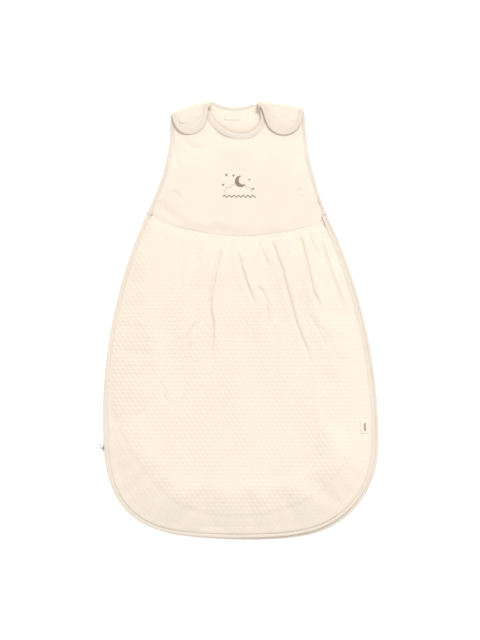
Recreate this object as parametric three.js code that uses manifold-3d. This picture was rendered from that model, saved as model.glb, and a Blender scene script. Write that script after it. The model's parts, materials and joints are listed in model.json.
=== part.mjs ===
// A baby sleeping bag (a padded, sleeveless sleep sack), laid flat on its back with its front up.
// Frame: millimetres, +X to the right as one looks down on the front, +Y towards the head, +Z up.
// The origin is under the middle of the bag, on the surface that it lies on.
// "Left" and "right" are the sides as one looks down on the front.
//
// The back is a flat stack of outer fabric, wadding and lining. The front is a second stack that
// rises from the sewn edge over the hollow that holds the baby. Each shoulder has a tongue of the
// back folded over the front strap and held by two poppers, and a zip runs down the left side.
import * as THREE from "three";
import { mergeVertices } from "three/addons/utils/BufferGeometryUtils.js";
import Module from "manifold-3d";

const wasm = await Module();
wasm.setup();

const v2 = (x, y) => new THREE.Vector2(x, y);
const lerp = THREE.MathUtils.lerp;
const smooth = THREE.MathUtils.smoothstep;

// ---------------------------------------------------------------- driving dimensions
const GAP = 0.3; // between pieces that touch
const OUTER = 1.2; // thickness of the outer fabric
const LINING = 1.0;
const BACK_WADDING = 4.0;
const BINDING_WIDTH = 8; // edge and armhole bindings
const NECK_BINDING_WIDTH = 10;
const FRONT_BINDING_HEIGHT = 4.3;
const ZIP_LIFT = 4.0; // how much the zip parts the front and back edges
const SKIRT_HOLLOW = 14; // height of the hollow for the legs
const BODICE_HOLLOW = 8; // height of the hollow for the chest
const STRAP_HOLLOW = 2; // the straps lie almost on each other
const SKIRT_WADDING = 5;
const BODICE_WADDING = 3;
const STRAP_WADDING = 1.5;
const EDGE_WADDING = 0.8; // wadding squeezed in a seam
const RISE = 72; // distance over which the front rises from its sewn edge

const LEFT_ARC = { x: 565, y: -152, r: 785 }; // the left side seam, along the zip
const RIGHT_ARC = { x: -614.5, y: -192.3, r: 833 };
const UNDERARM_LEFT = v2(-152.3, 167);
const UNDERARM_RIGHT = v2(137.2, 167);
const ZIP_TOP_Y = 138;
const ZIP_BOTTOM_Y = -210;
const SLIDER_Y = -203; // the slider at the closed, lower end

const FOLD_LEFT = [v2(-112.7, 331), v2(-50.5, 350)]; // where each tab folds over the shoulder
const FOLD_RIGHT = [v2(26, 350), v2(100, 338)];
const FOLD_DEPTH = 6; // how far the fold stands out past the end of the flat strap
const NECK_X = -8; // the middle of the neck
const TAB_LEFT = { x: -82, y: 320, r: 27.5 }; // the round end of each tab
const TAB_RIGHT = { x: 67, y: 322, r: 30 };
const POPPER_SPACING = 25;
const UNDERARM_POPPERS = { left: v2(-105.5, 196), right: v2(94.5, 200) };

// ---------------------------------------------------------------- levels of the flat back
const BACK_WADDING_Z = OUTER + GAP;
const BACK_LINING_Z = BACK_WADDING_Z + BACK_WADDING + GAP;
const BACK_TOP = BACK_LINING_Z + LINING;
const EDGE_LEVEL = BACK_TOP + GAP; // underside of the front where it is sewn to the back

// ---------------------------------------------------------------- outline of the bag
const angleAt = (arc, y, side) => Math.atan2(y - arc.y, side * Math.sqrt(arc.r ** 2 - (y - arc.y) ** 2));

function sewnEdgePoints() {
  // Down the left side, round the hem and up the right side, with the bag on the left hand.
  const curve = new THREE.CurvePath();
  const left = new THREE.ArcCurve(LEFT_ARC.x, LEFT_ARC.y, LEFT_ARC.r,
    angleAt(LEFT_ARC, UNDERARM_LEFT.y, -1), 2 * Math.PI + angleAt(LEFT_ARC, ZIP_BOTTOM_Y, -1), false);
  const right = new THREE.ArcCurve(RIGHT_ARC.x, RIGHT_ARC.y, RIGHT_ARC.r,
    angleAt(RIGHT_ARC, -200, 1), angleAt(RIGHT_ARC, UNDERARM_RIGHT.y, 1), false);
  const hemLeft = v2(-104, -341);
  const hemRight = v2(110, -341);
  curve.add(left);
  curve.add(new THREE.CubicBezierCurve(left.getPoint(1), v2(-212.4, -289.8), v2(-174, -329), hemLeft));
  curve.add(new THREE.CubicBezierCurve(hemLeft, v2(-54.8, -349.5), v2(61.6, -353.6), hemRight));
  curve.add(new THREE.CubicBezierCurve(hemRight, v2(170, -325.4), v2(217.8, -275), right.getPoint(0)));
  curve.add(right);
  const counts = [12, 10, 5, 10, 12];
  return curve.curves.flatMap((c, i) => c.getPoints(counts[i]).slice(i ? 1 : 0));
}

const sewnEdge = sewnEdgePoints();
const armholeLeft = new THREE.CubicBezierCurve(
  UNDERARM_LEFT, v2(-129, 212), v2(-109, 258), FOLD_LEFT[0]).getPoints(14); // going up
const armholeRight = new THREE.CubicBezierCurve(
  UNDERARM_RIGHT, v2(115.6, 212), v2(101.5, 270), FOLD_RIGHT[1]).getPoints(14); // going up
const backNeck = new THREE.CubicBezierCurve(
  v2(24.6, 350.3), v2(6, 334), v2(-28, 334), v2(-47.6, 350.3)).getPoints(10); // right to left
const frontNeck = new THREE.SplineCurve([
  v2(25, 344), v2(30, 331), v2(31, 318), v2(25, 306), v2(12, 296.5), v2(-6, 294),
  v2(-24, 301), v2(-40, 313), v2(-49, 327), v2(-50, 341)]).getPoints(26); // right to left
const waist = new THREE.CubicBezierCurve(
  v2(-150, 170.5), v2(-75, 122), v2(65, 122), v2(146, 165.5)).getPoints(24); // left to right

// ---------------------------------------------------------------- plane helpers
function normalsOf(points) {
  // Unit normals to the left of the direction of travel.
  return points.map((_, i) => {
    const t = points[Math.min(i + 1, points.length - 1)].clone().sub(points[Math.max(i - 1, 0)]).normalize();
    return v2(-t.y, t.x);
  });
}

function offset(points, inward) {
  // Moves a line to its left; inward may be a distance or a function of the point.
  const normals = normalsOf(points);
  const far = typeof inward === "function" ? inward : () => inward;
  return points.map((p, i) => p.clone().addScaledVector(normals[i], far(p)));
}

function moved(line, distance) {
  // A fold line moved towards the feet, at right angles to itself.
  const along = line[1].clone().sub(line[0]).normalize();
  return line.map((p) => p.clone().add(v2(along.y, -along.x).multiplyScalar(distance)));
}

function distanceToSewnEdge(x, y) {
  let best = Infinity;
  const p = new THREE.Vector3(x, y, 0);
  const near = new THREE.Vector3();
  for (let i = 1; i < sewnEdge.length; i += 1) {
    const [a, b] = [sewnEdge[i - 1], sewnEdge[i]].map((end) => new THREE.Vector3(end.x, end.y, 0));
    new THREE.Line3(a, b).closestPointToPoint(p, true, near);
    best = Math.min(best, near.distanceTo(p));
  }
  return best;
}

// ---------------------------------------------------------------- levels of the domed front
const inSkirt = (y) => 1 - smooth(y, 50, 140);
const inStrap = (x, y) => smooth(y, 250, 284) * smooth(Math.abs(x - NECK_X), 12, 44);
const byPart = (x, y, skirt, bodice, strap) => lerp(lerp(bodice, skirt, inSkirt(y)), strap, inStrap(x, y));
const risen = (x, y) => smooth(distanceToSewnEdge(x, y), 4, RISE);
const zipped = (x, y) => (x < 0 ? smooth(y, ZIP_BOTTOM_Y - 30, ZIP_BOTTOM_Y - 6) : 0);
const edgeLevel = (x, y) => EDGE_LEVEL + ZIP_LIFT * zipped(x, y);
const frontInset = (x) => 0.5 + 5 * smooth(x, -210, 200); // the front lies a little to the left of the back

function frontLevel(x, y) {
  const top = BACK_TOP + byPart(x, y, SKIRT_HOLLOW, BODICE_HOLLOW, STRAP_HOLLOW);
  return lerp(edgeLevel(x, y), top, risen(x, y));
}

function waddingTop(x, y) {
  const full = byPart(x, y, SKIRT_WADDING, BODICE_WADDING, STRAP_WADDING);
  const thick = lerp(EDGE_WADDING, full, risen(x, y));
  return frontLevel(x, y) + LINING + GAP + thick;
}

const above = (level, lift) => (x, y) => level(x, y) + lift;
const frontTop = above(waddingTop, GAP + OUTER);

// ---------------------------------------------------------------- solids
const CLEAR_ABOVE = 60; // a height above everything in the bag

function geometryOf(positions, triangles) {
  const geometry = new THREE.BufferGeometry();
  geometry.setAttribute("position", new THREE.Float32BufferAttribute(positions, 3));
  geometry.setIndex(triangles);
  return geometry;
}

function manifoldOf(geometry) {
  const bare = geometry.clone();
  bare.deleteAttribute("normal");
  bare.deleteAttribute("uv");
  const merged = mergeVertices(bare, 1e-4);
  return new wasm.Manifold(new wasm.Mesh({
    numProp: 3,
    vertProperties: merged.attributes.position.array,
    triVerts: new Uint32Array(merged.index.array),
  }));
}

function geometryFrom(solid) {
  const mesh = solid.getMesh();
  return geometryOf(Array.from(mesh.vertProperties), Array.from(mesh.triVerts));
}

const joined = (...parts) => geometryFrom(parts.map(manifoldOf).reduce((a, b) => a.add(b)));
const without = (part, ...cutters) =>
  geometryFrom(cutters.map(manifoldOf).reduce((a, b) => a.subtract(b), manifoldOf(part)));
const within = (part, region) => geometryFrom(manifoldOf(part).intersect(manifoldOf(region)));

function plate(outline, low, high) {
  // A flat sheet with the given outline.
  const settings = { depth: high - low, bevelEnabled: false };
  return new THREE.ExtrudeGeometry(new THREE.Shape(outline), settings).translate(0, 0, low);
}

// The outline that the domed layers are cut from: a spoke to each point, and rings between.
const spokes = [
  ...sewnEdge.filter((_, i) => i % 2 === 0),
  ...armholeRight.filter((_, i) => i % 3 === 2),
  v2(38, 351),
  v2(NECK_X, 356),
  v2(-54, 351),
  ...armholeLeft.filter((_, i) => i % 3 === 2).reverse(),
];
const RINGS = [0.42, 0.64, 0.76, 0.83, 0.92, 1.01];

function dome(low, high) {
  const ringPoints = RINGS.flatMap((r) => spokes.map((p) => p.clone().multiplyScalar(r)));
  const flat = [v2(0, 0), ...ringPoints];
  const positions = [low, high].flatMap((level) => flat.flatMap((p) => [p.x, p.y, level(p.x, p.y)]));
  const n = spokes.length;
  const triangles = [];
  const face = (a, b, c) => {
    triangles.push(flat.length + a, flat.length + b, flat.length + c); // upper side
    triangles.push(a, c, b); // under side
  };
  for (let i = 0; i < n; i += 1) {
    const j = (i + 1) % n;
    face(0, 1 + i, 1 + j);
    for (let k = 0; k < RINGS.length - 1; k += 1) {
      const [inner, outer] = [1 + k * n, 1 + (k + 1) * n];
      face(inner + i, outer + i, outer + j);
      face(inner + i, outer + j, inner + j);
    }
    const rim = 1 + (RINGS.length - 1) * n;
    const up = flat.length;
    triangles.push(rim + i, rim + j, up + rim + j, rim + i, up + rim + j, up + rim + i);
  }
  return geometryOf(positions, triangles);
}

function domedLayer(outline, low, high) {
  return within(dome(low, high), plate(outline, 0, CLEAR_ABOVE));
}

function band(points, near, far, low, high) {
  // A strip along a line, from near to far on its left, between two levels given as functions.
  const [a, b] = [offset(points, near), offset(points, far)];
  const positions = points.flatMap((_, i) => [
    a[i].x, a[i].y, low(a[i].x, a[i].y), b[i].x, b[i].y, low(b[i].x, b[i].y),
    b[i].x, b[i].y, high(b[i].x, b[i].y), a[i].x, a[i].y, high(a[i].x, a[i].y)]);
  const triangles = [0, 2, 1, 0, 3, 2];
  for (let i = 0; i < points.length - 1; i += 1) {
    for (let k = 0; k < 4; k += 1) {
      const [p, q] = [4 * i + k, 4 * i + ((k + 1) % 4)];
      triangles.push(p, q + 4, p + 4, p, q, q + 4);
    }
  }
  const end = 4 * (points.length - 1);
  triangles.push(end, end + 1, end + 2, end, end + 2, end + 3);
  return geometryOf(positions, triangles);
}

const level = (z) => () => z;

function pastFolds(depth) {
  // Everything on the head side of the two shoulder folds, from depth on their foot side.
  const FAR = 200;
  return [FOLD_LEFT, FOLD_RIGHT].map((fold) => {
    const along = fold[1].clone().sub(fold[0]).normalize();
    const headward = v2(-along.y, along.x);
    const [a, b] = moved(fold, depth);
    const corners = [a.clone().addScaledVector(along, -FAR), b.clone().addScaledVector(along, FAR)];
    const beyond = corners.map((p) => p.clone().addScaledVector(headward, FAR)).reverse();
    return plate([...corners, ...beyond], -1, CLEAR_ABOVE);
  });
}

const trimmedAtFolds = (part, depth) => without(part, ...pastFolds(depth));

// ---------------------------------------------------------------- materials
function material(colour, roughness, metalness = 0) {
  return new THREE.MeshStandardMaterial({ color: colour, roughness, metalness });
}

const jersey = material(0xfdf1e0, 0.9);
const quilting = material(0xfaeedc, 0.95);
const wadding = material(0xffffff, 1.0);
const liningCloth = material(0xfcf2e4, 0.9);
const bindingCloth = material(0xfbeedb, 0.88);
const tape = material(0xf4e8d6, 0.85);
const nylon = material(0xeee2d0, 0.5);
const zipMetal = material(0x9c9a94, 0.35, 0.9);
const popperPlastic = material(0xf6ebda, 0.35);
const popperMetal = material(0xc9c7c2, 0.3, 0.9);
const labelCloth = material(0xf3e7d6, 0.7);
const thread = material(0xa8907e, 0.6);

const bag = new THREE.Group();

function add(name, geometry, finish) {
  const mesh = new THREE.Mesh(geometry, finish);
  mesh.name = name;
  bag.add(mesh);
}

// ---------------------------------------------------------------- fabric panels
const IN = BINDING_WIDTH + GAP;
const BACK_STRAP_END = FOLD_DEPTH + GAP;
const FRONT_STRAP_END = FOLD_DEPTH + 2;

function panelOutline(sideInset, neckLine, neckInset) {
  // Down the left side, round the hem, up the right side and armhole, and back by the neck.
  return [
    ...offset(sewnEdge, sideInset),
    ...offset(armholeRight, IN).slice(1),
    ...offset(neckLine, neckInset),
    ...offset([...armholeLeft].reverse(), IN).slice(0, -1),
  ];
}

function footPart(shift) {
  // Everything on the foot side of the waist seam, with its edge moved towards the head by shift.
  const FAR = 400;
  const seam = waist.map((p) => p.clone().add(v2(0, shift)));
  const [a, b] = [seam[0], seam[seam.length - 1]];
  const outline = [v2(-FAR, -FAR), v2(FAR, -FAR), v2(FAR, b.y), ...seam.reverse(), v2(-FAR, a.y)];
  return plate(outline, -1, CLEAR_ABOVE);
}

function addPanels(side, outline, strapEnd, layers) {
  const whole = (shape) => trimmedAtFolds(shape, strapEnd);
  const outer = whole(layers.outer(outline));
  add(`${side}_yoke_outer`, without(outer, footPart(GAP / 2)), jersey);
  add(`${side}_skirt_outer`, within(outer, footPart(-GAP / 2)), quilting);
  add(`${side}_wadding`, whole(layers.wadding(outline)), wadding);
  add(`${side}_lining`, whole(layers.lining(outline)), liningCloth);
}

addPanels("back", panelOutline(IN, backNeck, IN), BACK_STRAP_END, {
  outer: (outline) => plate(outline, 0, OUTER),
  wadding: (outline) => plate(outline, BACK_WADDING_Z, BACK_WADDING_Z + BACK_WADDING),
  lining: (outline) => plate(outline, BACK_LINING_Z, BACK_TOP),
});
const frontOutline = panelOutline((p) => frontInset(p.x) + IN, frontNeck, NECK_BINDING_WIDTH + GAP);
addPanels("front", frontOutline, FRONT_STRAP_END, {
  outer: (outline) => domedLayer(outline, above(waddingTop, GAP), frontTop),
  wadding: (outline) => domedLayer(outline, above(frontLevel, LINING + GAP), waddingTop),
  lining: (outline) => domedLayer(outline, frontLevel, above(frontLevel, LINING)),
});

// ---------------------------------------------------------------- bindings
const onBack = [level(0), level(BACK_TOP)];
const onFront = [frontLevel, frontTop];
add("back_edge_binding", band(sewnEdge, 0, BINDING_WIDTH, ...onBack), bindingCloth);
add("front_edge_binding", band(sewnEdge, (p) => frontInset(p.x), (p) => frontInset(p.x) + BINDING_WIDTH,
  edgeLevel, above(edgeLevel, FRONT_BINDING_HEIGHT)), bindingCloth);

function addTrimmedBindings(side, strapEnd, neckLine, neckWidth, levels) {
  const lines = { left: [...armholeLeft].slice(1).reverse(), right: armholeRight.slice(1) };
  for (const [hand, line] of Object.entries(lines)) {
    const strip = band(line, 0, BINDING_WIDTH, ...levels);
    add(`${hand}_${side}_armhole_binding`, trimmedAtFolds(strip, strapEnd), bindingCloth);
  }
  const neck = band(neckLine, 0, neckWidth, ...levels);
  add(`${side}_neck_binding`, trimmedAtFolds(neck, strapEnd), bindingCloth);
}

addTrimmedBindings("back", BACK_STRAP_END, backNeck, BINDING_WIDTH, onBack);
addTrimmedBindings("front", FRONT_STRAP_END, frontNeck, NECK_BINDING_WIDTH, onFront);

// ---------------------------------------------------------------- poppers
const STRAP_LOW = BACK_TOP + STRAP_HOLLOW;
const STRAP_TOP = STRAP_LOW + LINING + GAP + STRAP_WADDING + GAP + OUTER;
const POPPER = { radius: 5, base: 0.8, knob: 1.9, knobHeight: 1.3, bore: 2.5, socketHeight: 1.5, cap: 1.2 };
const STUD_Z = STRAP_TOP + 2 * GAP;
const SOCKET_Z = STUD_Z + POPPER.base + GAP;
const TAB_Z = SOCKET_Z + POPPER.socketHeight + GAP; // underside of a tab
const TAB_OUTER_Z = TAB_Z + LINING + GAP;
const TAB_TOP = TAB_OUTER_Z + OUTER;

const ROUND = 12;
const lathe = (profile) =>
  new THREE.LatheGeometry(profile.map(([r, z]) => v2(r, z)), ROUND).rotateX(Math.PI / 2);

function capShape(up) {
  // A shallow cap, or with up = -1 the plain ring that clinches it from inside.
  const r = POPPER.radius;
  const profile = [[0, 0], [r, 0], [r, 0.4 * POPPER.cap], [0.7 * r, POPPER.cap], [0, POPPER.cap]];
  return up > 0 ? lathe(profile) : lathe(profile).rotateX(Math.PI);
}

function studShape() {
  const { radius, base, knob, knobHeight } = POPPER;
  return lathe([[0, 0], [0.9 * radius, 0], [0.9 * radius, base], [0.8 * knob, base],
    [knob, base + 0.6 * knobHeight], [0.7 * knob, base + knobHeight], [0, base + knobHeight]]);
}

function socketShape() {
  const { radius, bore, socketHeight } = POPPER;
  return lathe([[bore, 0], [0.9 * radius, 0], [0.9 * radius, 0.5 * socketHeight],
    [0.6 * radius, socketHeight], [bore, socketHeight], [bore, 0]]);
}

function addPopper(name, at, levels) {
  // levels: where the cap, the socket, the stud and the stud's post stand.
  add(`${name}_cap`, capShape(1).translate(at.x, at.y, levels.cap), popperPlastic);
  add(`${name}_socket`, socketShape().translate(at.x, at.y, levels.socket), popperMetal);
  add(`${name}_stud`, studShape().translate(at.x, at.y, levels.stud), popperMetal);
  add(`${name}_post`, capShape(-1).translate(at.x, at.y, levels.post), popperPlastic);
}

function addUnderarmPopper(name, at) {
  // The socket half is on the front and the stud half on the back, undone.
  const half = POPPER.radius;
  const corners = [[-half, 0], [half, 0], [0, -half], [0, half], [0, 0]]
    .map(([x, y]) => [at.x + x, at.y + y]);
  const top = Math.max(...corners.map(([x, y]) => frontTop(x, y)));
  const low = Math.min(...corners.map(([x, y]) => frontLevel(x, y)));
  const SLOPE_ROOM = 0.5; // the front slopes here, and the poppers are level
  add(`${name}_cap`, capShape(1).translate(at.x, at.y, top + SLOPE_ROOM), popperPlastic);
  add(`${name}_socket`, socketShape().rotateX(Math.PI).translate(at.x, at.y, low - SLOPE_ROOM), popperMetal);
  add(`${name}_stud`, studShape().translate(at.x, at.y, BACK_TOP + GAP), popperMetal);
}

// ---------------------------------------------------------------- shoulder tabs
const TAB_INSET = 0.5; // the tab is a little narrower than its strap

function addTab(side, tab, fold) {
  const round = new THREE.ArcCurve(tab.x, tab.y, tab.r, -Math.PI, 0, false).getPoints(18);
  const edge = [fold[0].clone().add(v2(TAB_INSET, 0)), ...round, fold[1].clone().sub(v2(TAB_INSET, 0))];
  const depth = FOLD_DEPTH + GAP;
  const cloth = (low, high) => trimmedAtFolds(plate(offset(edge, IN), low, high), depth);
  add(`${side}_tab_facing`, cloth(TAB_Z, TAB_Z + LINING), liningCloth);
  add(`${side}_tab_outer`, cloth(TAB_OUTER_Z, TAB_TOP), jersey);
  add(`${side}_tab_binding`,
    trimmedAtFolds(band(edge, 0, BINDING_WIDTH, level(TAB_Z), level(TAB_TOP)), depth), bindingCloth);

  const along = fold[1].clone().sub(fold[0]).normalize();
  ["outer", "inner"].forEach((which) => {
    const towardsNeck = (which === "inner") === (side === "left");
    const step = (towardsNeck ? 0.5 : -0.5) * POPPER_SPACING;
    addPopper(`${side}_${which}_popper`, v2(tab.x, tab.y).addScaledVector(along, step), {
      cap: TAB_TOP + GAP, socket: SOCKET_Z, stud: STUD_Z, post: STRAP_LOW - GAP,
    });
  });
}

function addFold(side, fold) {
  // The bend of cloth that carries the strap of the back over the shoulder into the tab.
  const CLOTH = 3; // thickness of the doubled cloth
  const middle = TAB_TOP / 2;
  const ring = new THREE.Shape();
  ring.absellipse(0, 0, FOLD_DEPTH, middle, -Math.PI / 2, Math.PI / 2, false, 0);
  ring.absellipse(0, 0, FOLD_DEPTH - CLOTH, middle - CLOTH, Math.PI / 2, -Math.PI / 2, true, 0);
  const along = fold[1].clone().sub(fold[0]).normalize();
  const headward = new THREE.Vector3(-along.y, along.x, 0);
  const bend = new THREE.ExtrudeGeometry(new THREE.Shape(ring.getPoints(7)),
    { depth: fold[0].distanceTo(fold[1]) - 2 * TAB_INSET, bevelEnabled: false });
  const start = moved(fold, FOLD_DEPTH)[0].clone().addScaledVector(along, TAB_INSET);
  const place = new THREE.Matrix4()
    .makeBasis(headward, new THREE.Vector3(0, 0, 1), new THREE.Vector3(along.x, along.y, 0))
    .setPosition(start.x, start.y, middle);
  add(`${side}_shoulder_fold`, bend.applyMatrix4(place), jersey);
}

addTab("left", TAB_LEFT, FOLD_LEFT);
addTab("right", TAB_RIGHT, FOLD_RIGHT);
addFold("left", FOLD_LEFT);
addFold("right", FOLD_RIGHT);
addUnderarmPopper("left_underarm_popper", UNDERARM_POPPERS.left);
addUnderarmPopper("right_underarm_popper", UNDERARM_POPPERS.right);

// ---------------------------------------------------------------- zip on the left side
// Its tapes lie on each other inside the seam, with the teeth along the outer edge.
const TAPE = { near: 3, far: BINDING_WIDTH, thick: 0.5 };
const TEETH = { near: 0.9, far: 2.7, thick: 1 };
const ZIP_LOW = EDGE_LEVEL;
const ZIP_HIGH = EDGE_LEVEL + ZIP_LIFT - GAP;

function zipLine(fromY, toY, steps) {
  const [a, b] = [fromY, toY].map((y) => (angleAt(LEFT_ARC, y, -1) + 2 * Math.PI) % (2 * Math.PI));
  return new THREE.ArcCurve(LEFT_ARC.x, LEFT_ARC.y, LEFT_ARC.r, a, b, false).getPoints(steps);
}

const zipRun = zipLine(ZIP_TOP_Y, ZIP_BOTTOM_Y, 22);
add("zip_tape_back", band(zipRun, TAPE.near, TAPE.far, level(ZIP_LOW), level(ZIP_LOW + TAPE.thick)), tape);
add("zip_tape_front", band(zipRun, TAPE.near, TAPE.far, level(ZIP_HIGH - TAPE.thick), level(ZIP_HIGH)), tape);
add("zip_teeth_back",
  band(zipRun, TEETH.near, TEETH.far, level(ZIP_LOW), level(ZIP_LOW + TEETH.thick)), nylon);
add("zip_teeth_front",
  band(zipRun, TEETH.near, TEETH.far, level(ZIP_HIGH - TEETH.thick), level(ZIP_HIGH)), nylon);

const ZIP_MIDDLE = (ZIP_LOW + ZIP_HIGH) / 2;
const STOP_HEIGHT = 1.2;
const stopLevels = [level(ZIP_MIDDLE - STOP_HEIGHT / 2), level(ZIP_MIDDLE + STOP_HEIGHT / 2)];
add("zip_top_stop",
  band(zipLine(ZIP_TOP_Y, ZIP_TOP_Y - 2.5, 1), TEETH.near, TEETH.far, ...stopLevels), zipMetal);
add("zip_bottom_stop",
  band(zipLine(ZIP_BOTTOM_Y + 3, ZIP_BOTTOM_Y, 1), TEETH.near, TEETH.far, ...stopLevels), zipMetal);
add("zip_garage", band(zipLine(ZIP_TOP_Y + 12, ZIP_TOP_Y + 1, 3), 0.6, BINDING_WIDTH,
  level(ZIP_LOW + 0.4), level(ZIP_HIGH - 0.2)), bindingCloth);

// The slider and its pull are built about the slider's middle, x outwards and y up the zip.
const SLIDER = { length: 9, plateNear: -0.3, plate: 1.3, height: 5.2, neckLength: 3, neckHeight: 0.8,
  innerNear: 3.1, inner: 0.9, innerHeight: 2 };
const PULL = { out: 3.4, pin: 0.5, eye: 0.8, ring: 1.4, root: 1.4, width: 4.4, thick: 1.3, length: 8.5 };
const LUG = { thick: 0.8, half: 1.3 };

function block(x0, x1, y0, y1, z0, z1) {
  return new THREE.BoxGeometry(x1 - x0, y1 - y0, z1 - z0)
    .translate((x0 + x1) / 2, (y0 + y1) / 2, (z0 + z1) / 2);
}

function sliderShape() {
  const s = SLIDER;
  const outside = -s.plateNear; // the near face of the outer plate, past the seam's edge
  const lugFrom = PULL.root / 2 + 0.2;
  const lugs = [1, -1].map((up) => block(outside + s.plate - 0.1, PULL.out + LUG.half, -LUG.half, LUG.half,
    Math.min(up * lugFrom, up * (lugFrom + LUG.thick)), Math.max(up * lugFrom, up * (lugFrom + LUG.thick))));
  const pin = new THREE.CylinderGeometry(PULL.pin, PULL.pin, 2 * (lugFrom + LUG.thick) - 0.1, 12)
    .rotateX(Math.PI / 2).translate(PULL.out, 0, 0);
  const plateOuter = block(outside, outside + s.plate, -s.length / 2, s.length / 2,
    -s.height / 2, s.height / 2);
  const neck = block(-s.innerNear - 0.1, outside + 0.1, -s.neckLength / 2, s.neckLength / 2,
    -s.neckHeight / 2, s.neckHeight / 2);
  const plateInner = block(-s.innerNear - s.inner, -s.innerNear, -s.length / 2, s.length / 2,
    -s.innerHeight / 2, s.innerHeight / 2);
  return joined(plateOuter, neck, plateInner, ...lugs, pin);
}

function pullShape() {
  // Points up the zip from its eye.
  const outline = new THREE.Shape();
  outline.absarc(0, 0, PULL.ring, 0, 2 * Math.PI, false);
  outline.holes.push(new THREE.Path().absarc(0, 0, PULL.eye, 0, 2 * Math.PI, true));
  const eye = new THREE.ExtrudeGeometry(outline, { depth: PULL.root, bevelEnabled: false, curveSegments: 12 })
    .translate(0, 0, -PULL.root / 2);
  const stem = block(-PULL.thick / 2, PULL.thick / 2, PULL.eye + 0.25, 4, -PULL.root / 2, PULL.root / 2);
  const tab = block(-PULL.thick / 2, PULL.thick / 2, 3, PULL.length, -PULL.width / 2, PULL.width / 2);
  return joined(eye, stem, tab);
}

const sliderAngle = angleAt(LEFT_ARC, SLIDER_Y, -1);
const PULL_SWING = THREE.MathUtils.degToRad(24); // how far the pull stands off the zip
const sliderMiddle = v2(LEFT_ARC.x, LEFT_ARC.y)
  .add(v2(Math.cos(sliderAngle), Math.sin(sliderAngle)).multiplyScalar(LEFT_ARC.r));
// Local x points outwards, so local y points down the zip: the slider is the same both ways up.
const placed = (geometry) =>
  geometry.rotateZ(sliderAngle).translate(sliderMiddle.x, sliderMiddle.y, ZIP_MIDDLE);
add("zip_slider", placed(sliderShape()), zipMetal);
add("zip_pull", placed(pullShape().rotateZ(Math.PI + PULL_SWING).translate(PULL.out, 0, 0)), zipMetal);

// ---------------------------------------------------------------- labels and motif
function tilted(x, y, wide, tall, turn) {
  return [[-1, -1], [1, -1], [1, 1], [-1, 1]].map(([i, k]) =>
    v2((i * wide) / 2, (k * tall) / 2).rotateAround(v2(0, 0), turn).add(v2(x, y)));
}

const LABEL_CLOTH = { side: 1, neck: 0.8 }; // thickness of each label
const sideLabel = tilted(194, -168, 10.5, 22, 0.1);
const neckLabel = tilted(-15, 324, 24, 12, 0);
add("side_label",
  domedLayer(sideLabel, above(frontTop, GAP), above(frontTop, GAP + LABEL_CLOTH.side)), labelCloth);
add("neck_label",
  plate(neckLabel, BACK_TOP + GAP, BACK_TOP + GAP + LABEL_CLOTH.neck), labelCloth);

// The embroidery on the chest: a moon that rests on a cloud.
const MOTIF = { x: -7, y: 208, thick: 0.5 };

function disc(x, y, r) {
  const circle = new THREE.ArcCurve(MOTIF.x + x, MOTIF.y + y, r, 0, 2 * Math.PI, false);
  return plate(circle.getPoints(20).slice(0, -1), 0, CLEAR_ABOVE);
}

function motifShape() {
  const moon = without(disc(1, 17, 11), disc(6, 20, 9.5));
  const cloud = joined(disc(-16, -4, 7), disc(-5, 0, 9.5), disc(8, -1, 8), disc(18, -5, 6));
  const sheet = dome(above(frontTop, GAP), above(frontTop, GAP + MOTIF.thick));
  return within(sheet, joined(moon, cloud));
}

add("chest_motif", motifShape(), thread);

export default bag;
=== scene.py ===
"""The looks of the baby sleeping bag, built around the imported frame. Metres, +Y to the head, +Z up."""
import json
import math
import random

import bmesh
import bpy
import numpy as np
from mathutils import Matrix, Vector, geometry
from mathutils.bvhtree import BVHTree


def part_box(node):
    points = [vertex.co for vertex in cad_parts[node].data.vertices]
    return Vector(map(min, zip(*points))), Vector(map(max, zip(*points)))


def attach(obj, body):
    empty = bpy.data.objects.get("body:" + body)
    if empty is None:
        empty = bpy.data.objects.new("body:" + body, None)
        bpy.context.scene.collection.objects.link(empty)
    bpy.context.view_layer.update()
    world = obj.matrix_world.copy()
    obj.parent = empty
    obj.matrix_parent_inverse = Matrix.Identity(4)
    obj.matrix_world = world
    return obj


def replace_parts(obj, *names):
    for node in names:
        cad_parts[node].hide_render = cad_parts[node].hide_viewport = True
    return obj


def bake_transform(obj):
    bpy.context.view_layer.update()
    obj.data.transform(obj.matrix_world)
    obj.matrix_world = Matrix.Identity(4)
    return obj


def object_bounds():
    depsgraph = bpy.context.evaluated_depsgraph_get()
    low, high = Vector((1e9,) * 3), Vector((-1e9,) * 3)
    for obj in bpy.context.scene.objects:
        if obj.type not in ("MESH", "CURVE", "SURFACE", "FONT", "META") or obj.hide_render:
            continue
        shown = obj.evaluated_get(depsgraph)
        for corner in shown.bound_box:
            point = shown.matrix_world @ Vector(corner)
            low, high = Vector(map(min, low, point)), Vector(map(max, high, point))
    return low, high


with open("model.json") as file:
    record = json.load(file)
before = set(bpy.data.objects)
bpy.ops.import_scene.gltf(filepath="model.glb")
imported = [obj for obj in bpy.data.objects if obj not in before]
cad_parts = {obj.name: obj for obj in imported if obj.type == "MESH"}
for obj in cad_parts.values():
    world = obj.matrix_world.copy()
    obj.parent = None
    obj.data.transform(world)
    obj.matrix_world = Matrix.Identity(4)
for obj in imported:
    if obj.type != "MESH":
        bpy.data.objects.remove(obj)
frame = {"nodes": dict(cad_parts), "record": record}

cad_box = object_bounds()
MM = 0.001
BAG = "bag"
SIDES = ("left", "right")

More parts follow.
